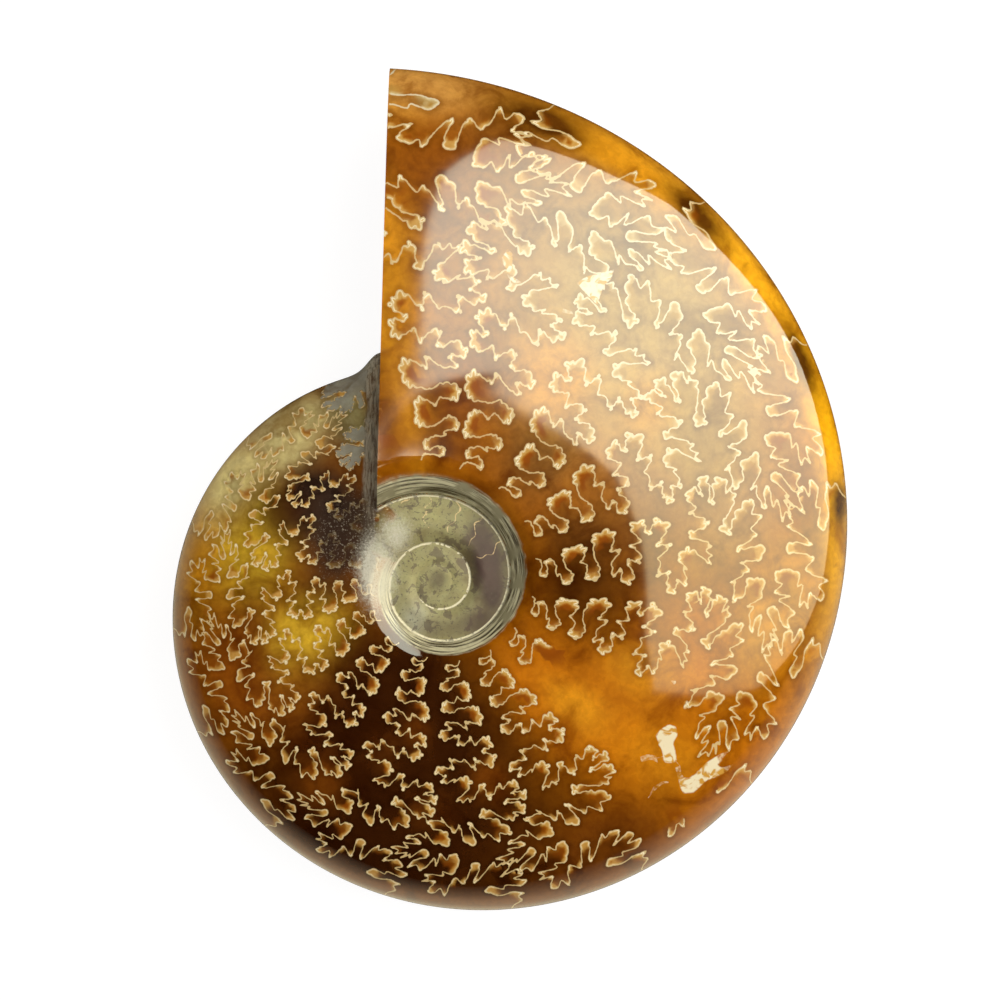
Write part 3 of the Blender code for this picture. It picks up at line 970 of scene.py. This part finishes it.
def fossil_material():
    nodes = Nodes("polished_fossil")
    plus, less, times, fade = nodes.plus, nodes.less, nodes.times, nodes.fade
    mix, tinted, noise = nodes.mix, nodes.tinted, nodes.noise
    place = nodes.tree.nodes.new("ShaderNodeTexCoord").outputs["Object"]
    place = nodes.stretch(place, (1 / MM, 1 / MM, 1 / MM))
    gap, inside, tip = nodes.split(nodes.attribute("line"))
    within, bulge, _ = nodes.split(nodes.attribute("leaf"))
    whorl = nodes.attribute("whorl")
    turns, over_seam, from_seam = nodes.split(whorl)
    bleached_and_highlight, speckled, plain = nodes.split(nodes.attribute("zones"))
    chip, beside_cut, sunken = nodes.split(nodes.attribute("marks"))
    tone = nodes.attribute("tone", "Color")
    red, green, blue = nodes.split(tone)

    # Clouded stone.
    cloud = noise(place, 0.2, 4, 0.6, 0.6)
    grain = noise(place, 1.1, 4, 0.65, 0.4)
    stone = mix(fade(cloud, 0.45, 0.72), tone, tinted(tone, (1.2, 1.22, 1.1)))
    stone = mix(fade(cloud, 0.52, 0.3), stone, tinted(stone, (0.6, 0.5, 0.4)))
    stone = mix(fade(grain, 0.40, 0.62), tinted(stone, (0.88, 0.84, 0.8)), stone)

    # Suture lines: pale along the line, glowing inside the tips of the leaves, dark outside them.
    ragged = times(less(noise(place, 2.6, 3), 0.5), 0.16)
    gap = plus(gap, ragged)
    pointed = times(fade(inside, 0.45, 0.8), fade(tip, 0.1, 0.6))
    lined = less(1.0, plain)
    open_part = nodes.math("SUBTRACT", lined, sunken, clamp=True)
    tan = times(fade(blue, 0.018, 0.045), fade(turns, 1.0, 1.04))
    body = times(fade(within, 0.5, 0.9), fade(bulge, 0.05, 0.55), fade(gap, 3.6, 1.2), open_part)
    leaf_tone = mix(fade(plus(red, green), 0.08, 0.4), linear(120, 60, 10), linear(132, 64, 10))
    stone = mix(times(body, 0.88), stone, mix(tan, leaf_tone, linear(130, 92, 44)))
    lit = nodes.math("MAXIMUM", pointed, times(body, 0.25))
    flame = times(lit, fade(gap, 1.5, 0.3), open_part)
    ember = mix(fade(gap, 0.6, 0.15), linear(152, 78, 12), linear(206, 148, 52))
    stone = mix(times(flame, 0.75), stone, mix(tan, ember, linear(182, 140, 66)))
    glow = times(pointed, fade(gap, 0.42, 0.08), open_part)
    bright = mix(tan, linear(222, 192, 118), linear(224, 206, 150))
    stone = mix(times(glow, 0.6), stone, bright)
    shade = times(fade(inside, 0.55, 0.2), fade(gap, 0.7, 0.1), open_part, 0.5)
    stone = mix(shade, stone, tinted(stone, (0.5, 0.42, 0.34)))
    width = plus(times(pointed, 0.045), 0.07)
    band = times(fade(nodes.math("DIVIDE", gap, width), 1.45, 0.6), lined)
    pale = mix(pointed, linear(210, 182, 124), linear(246, 238, 204))
    stone = mix(times(band, 0.9), stone, mix(tan, pale, linear(222, 208, 168)))

    # Pale chips, with a little gold left in them.
    facets = noise(place, 0.7, 2, 0.5, 1.2)
    flaked = mix(fade(facets, 0.47, 0.62), linear(238, 224, 184), linear(206, 152, 62))
    chipped = fade(plus(chip, times(ragged, 1.2)), -0.06, 0.1)
    stone = mix(times(chipped, 0.95), stone, flaked)

    # The rough strip along the foot of the sawn face.
    streaks = noise(nodes.stretch(place, (3.2, 0.45, 1.0)), 1.0, 4, 0.7, 0.5)
    strip = mix(fade(streaks, 0.36, 0.64), linear(96, 80, 62), linear(176, 164, 138))
    off_cut = plus(beside_cut, noise(place, 0.35, 2))
    stone = mix(times(fade(off_cut, 2.3, 1.9), 0.85), stone, strip)

    # The umbilicus: a fibrous wall ring with a bright line at its foot.
    fibre = noise(nodes.stretch(whorl, (7.0, 34.0, 0.0)), 1.0, 5, 0.7, 0.3)
    fibres = mix(fade(fibre, 0.42, 0.58), linear(68, 58, 40), linear(202, 194, 154))
    fibres = mix(fade(noise(place, 0.5, 2), 0.45, 0.7), fibres, linear(140, 132, 100))
    outward = plus(over_seam, times(noise(place, 0.9, 2), 0.08))
    ring = times(fade(outward, 1.3, 1.24), fade(turns, 0.35, 0.5))
    stone = mix(ring, stone, fibres)
    worn = fade(plus(from_seam, times(ragged, 0.8)), 0.17, 0.06)
    worn = times(worn, fade(turns, -0.4, -0.34), 0.9)
    stone = mix(worn, stone, linear(226, 218, 182))

    # Bleached stone with a painted highlight, and speckled stone, beside it.
    dust = noise(place, 4.2, 3, 0.75)
    soot = mix(fade(dust, 0.56, 0.7), SOOT * 0.8, linear(150, 138, 118))
    sooty = fade(plus(speckled, times(grain, 0.6)), 0.5, 1.2)
    stone = mix(times(sooty, 0.9), stone, soot)
    specks = fade(noise(place, 3.0, 4, 0.7), 0.56, 0.66)
    stone = mix(times(specks, sunken, 0.7), stone, linear(62, 54, 40))
    mottle = fade(noise(place, 0.55, 4, 0.62, 0.8), 0.545, 0.575)
    stone = mix(times(mottle, sunken, 0.6), stone, VIOLET)
    # A pale grey-white patch, partly bleached stone and partly a painted highlight on the umbilicus'
    # shoulder.
    chalk_and_highlight = plus(bleached_and_highlight, times(less(dust, 0.5), 1.1))
    chalk_and_highlight = times(fade(chalk_and_highlight, 0.2, 1.3), fade(bleached_and_highlight, 0.02, 0.5))
    stone = mix(times(chalk_and_highlight, 0.8), stone, linear(206, 202, 178))

    # The sawn face: coarse crystals between thin dark septa.
    sawn = nodes.attribute("sawn", "Fac")
    crystals = noise(place, 0.45, 5, 0.6, 1.5)
    cut_stone = mix(fade(crystals, 0.35, 0.65), linear(112, 62, 18), linear(206, 160, 92))
    seams = fade(nodes.math("ABSOLUTE", less(crystals, 0.5)), 0.0, 0.02)
    stone = mix(sawn, stone, mix(seams, linear(70, 38, 14), cut_stone))

    rough = 0.055
    for share, rise in ((chalk_and_highlight, 0.35), (ring, 0.2), (sunken, 0.5), (sawn, 0.2)):
        rough = plus(times(share, rise), rough)
    nodes.give("Base Color", stone)
    nodes.give("Roughness", rough)
    nodes.give("IOR", 1.6)
    return nodes.material


# Stage, light and camera

FRAME_WIDTH = 110.0
LENS, SENSOR = 200.0, 36.0
LOOK_X, LOOK_Y, LOOK_Z = -1.27, -1.16, 10.0
POLE = Vector((-8.05, -10.0, 0))
FLOOR_REACH = 3000.0


def plain_floor():
    reach = FLOOR_REACH * MM
    corners = [(-reach, -reach, 0), (reach, -reach, 0), (reach, reach, 0), (-reach, reach, 0)]
    mesh = bpy.data.meshes.new("floor")
    mesh.from_pydata(corners, [], [(0, 1, 2, 3)])
    nodes = Nodes("floor_white")
    nodes.give("Base Color", (0.2, 0.2, 0.2))
    nodes.give("Roughness", 1.0)
    nodes.give("Specular IOR Level", 0.0)
    nodes.give("Emission Color", (1, 1, 1))
    nodes.give("Emission Strength", 0.9)
    mesh.materials.append(nodes.material)
    floor = placed("floor", mesh)
    floor.visible_glossy = False


def panel(name, place, look_at, width, height, radiance, tint=(1, 1, 1)):
    """A soft light panel that lights the surface and leaves no reflection."""
    data = bpy.data.lights.new(name, "AREA")
    data.shape = "RECTANGLE"
    data.size, data.size_y = width * MM, height * MM
    data.energy = radiance * math.pi * width * height * MM * MM
    data.color = tint
    light = placed(name, data)
    light.location = Vector(place) * MM
    light.rotation_mode = "QUATERNION"
    aim = (Vector(look_at) - Vector(place)).normalized()
    light.rotation_quaternion = aim.to_track_quat("-Z", "Y")
    light.visible_glossy = False


# The big panel runs along one direction and slopes down across it. Its rows are (place along it, upper
# end, lower end, brightness), with the ends as parts of the slope.
SOFTBOX_TOP = Vector((168, 100, 600))
SOFTBOX_ALONG = Vector((-0.27, 0.963, 0))
SOFTBOX_DOWN = Vector((230, 64.5, -540))
SOFTBOX_ROWS = (
    (-338, 0.50, 0.54, (2.6, 2.1, 1.3)),
    (-310, 0.05, 0.76, (3.3, 2.8, 1.6)),
    (-255, 0.02, 0.95, (4.4, 3.9, 2.3)),
    (-185, 0.062, 1.02, (5.2, 4.7, 2.8)),
    (-144, 0.072, 1.03, (5.9, 5.3, 3.7)),
    (-112, 0.025, 1.06, (6.3, 5.7, 4.1)),
    (-75, 0.00, 1.07, (6.7, 6.1, 4.6)),
    (-56, 0.01, 1.08, (6.8, 6.4, 5.0)),
    (-48, -0.058, 1.08, (6.9, 6.6, 5.2)),
    (-10, -0.062, 1.09, (6.9, 6.8, 5.4)),
    (33, -0.047, 1.04, (6.9, 6.9, 5.7)),
    (78, -0.02, 0.95, (6.8, 7.0, 5.8)),
    (118, 0.02, 0.87, (6.8, 7.0, 5.8)),
    (165, 0.09, 0.83, (6.7, 6.8, 5.5)),
    (190, 0.135, 0.68, (6.6, 6.6, 5.3)),
    (215, 0.21, 0.60, (6.5, 6.2, 4.9)),
    (243, 0.31, 0.52, (6.2, 5.7, 4.4)),
    (268, 0.40, 0.43, (5.8, 5.2, 3.9)),
)
# Towards its far end the panel is this much brighter along its outer edge.
OUTER_GAIN, OUTER_GAIN_BELOW = 1.15, -150
# The pale screen whose reflection lies along the rim, as (compass angle, brightness), and its levels
# as (height, share of the brightness).
SCREEN_RADIUS = 600.0
SCREEN_TURNS = (
    (128, 0.0), (150, 0.3), (175, 0.7), (215, 1.0), (270, 1.2), (310, 1.1), (340, 0.9), (358, 0.5),
    (370, 0.0),
)
SCREEN_LEVELS = ((-1600, 0.4), (-400, 1.0), (-100, 0.9), (230, 0.0))
SCREEN_TINT = (1.3, 1.22, 0.85)


def mirrored_sheet(name, places, shades, rows):
    """A glowing sheet that shows only as a reflection in the polish. Its places come column by column."""
    mesh = bpy.data.meshes.new(name)
    corners = [k for k in range(len(places) - rows) if (k + 1) % rows]
    faces = [(k, k + 1, k + rows + 1, k + rows) for k in corners]
    mesh.from_pydata([tuple(Vector(place) * MM) for place in places], [], faces)
    colours = [value for shade in shades for value in (*shade, 1.0)]
    mesh.attributes.new("shade", "FLOAT_COLOR", "POINT").data.foreach_set("color", colours)
    nodes = Nodes(name + "_glow")
    nodes.give("Emission Color", nodes.attribute("shade", "Color"))
    nodes.give("Emission Strength", 1.0)
    nodes.give("Base Color", (0, 0, 0))
    mesh.materials.append(nodes.material)
    sheet = placed(name, mesh)
    sheet.visible_camera = False
    sheet.visible_diffuse = False
    sheet.visible_shadow = False


def softbox():
    """The big panel whose reflection lies over the right of the shell; it fades towards one end."""
    places = []
    shades = []
    for along, top, bottom, shade in SOFTBOX_ROWS:
        for down in (top, bottom):
            places.append(SOFTBOX_TOP + SOFTBOX_ALONG * along + SOFTBOX_DOWN * down + POLE)
            gain = OUTER_GAIN if along < OUTER_GAIN_BELOW and down == bottom else 1.0
            shades.append([gain * part for part in shade])
    mirrored_sheet("softbox", places, shades, 2)


def low_screen():
    places = []
    shades = []
    for turn, brightness in SCREEN_TURNS:
        for level, share in SCREEN_LEVELS:
            places.append((*plan(turn, SCREEN_RADIUS), level))
            shades.append([brightness * share * part for part in SCREEN_TINT])
    mirrored_sheet("low_screen", places, shades, len(SCREEN_LEVELS))


def lights():
    softbox()
    low_screen()
    panel("key", (300, 100, 330), (0, 0, 10), 500, 590, 2.6, (1.0, 0.97, 0.93))
    panel("overhead", (0, 0, 1200), (0, 0, 0), 1000, 1000, 1.9)
    world = bpy.data.worlds.new("studio")
    world.use_nodes = True
    world.node_tree.nodes["Background"].inputs["Color"].default_value = (1, 1, 1, 1)
    world.node_tree.nodes["Background"].inputs["Strength"].default_value = 0.12
    world.cycles_visibility.glossy = False
    bpy.context.scene.world = world


def camera():
    data = bpy.data.cameras.new("camera")
    data.lens = LENS
    data.sensor_width = SENSOR
    data.clip_end = 10
    view = placed("camera", data)
    view.location = Vector((LOOK_X, LOOK_Y, LOOK_Z + FRAME_WIDTH * LENS / SENSOR)) * MM
    bpy.context.scene.camera = view


def main():
    piece = shell_piece()
    piece.data.materials.append(fossil_material())
    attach(piece, "root")
    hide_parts("ammonite")
    plain_floor()
    lights()
    camera()
    bpy.context.scene.view_settings.view_transform = "Standard"


main()
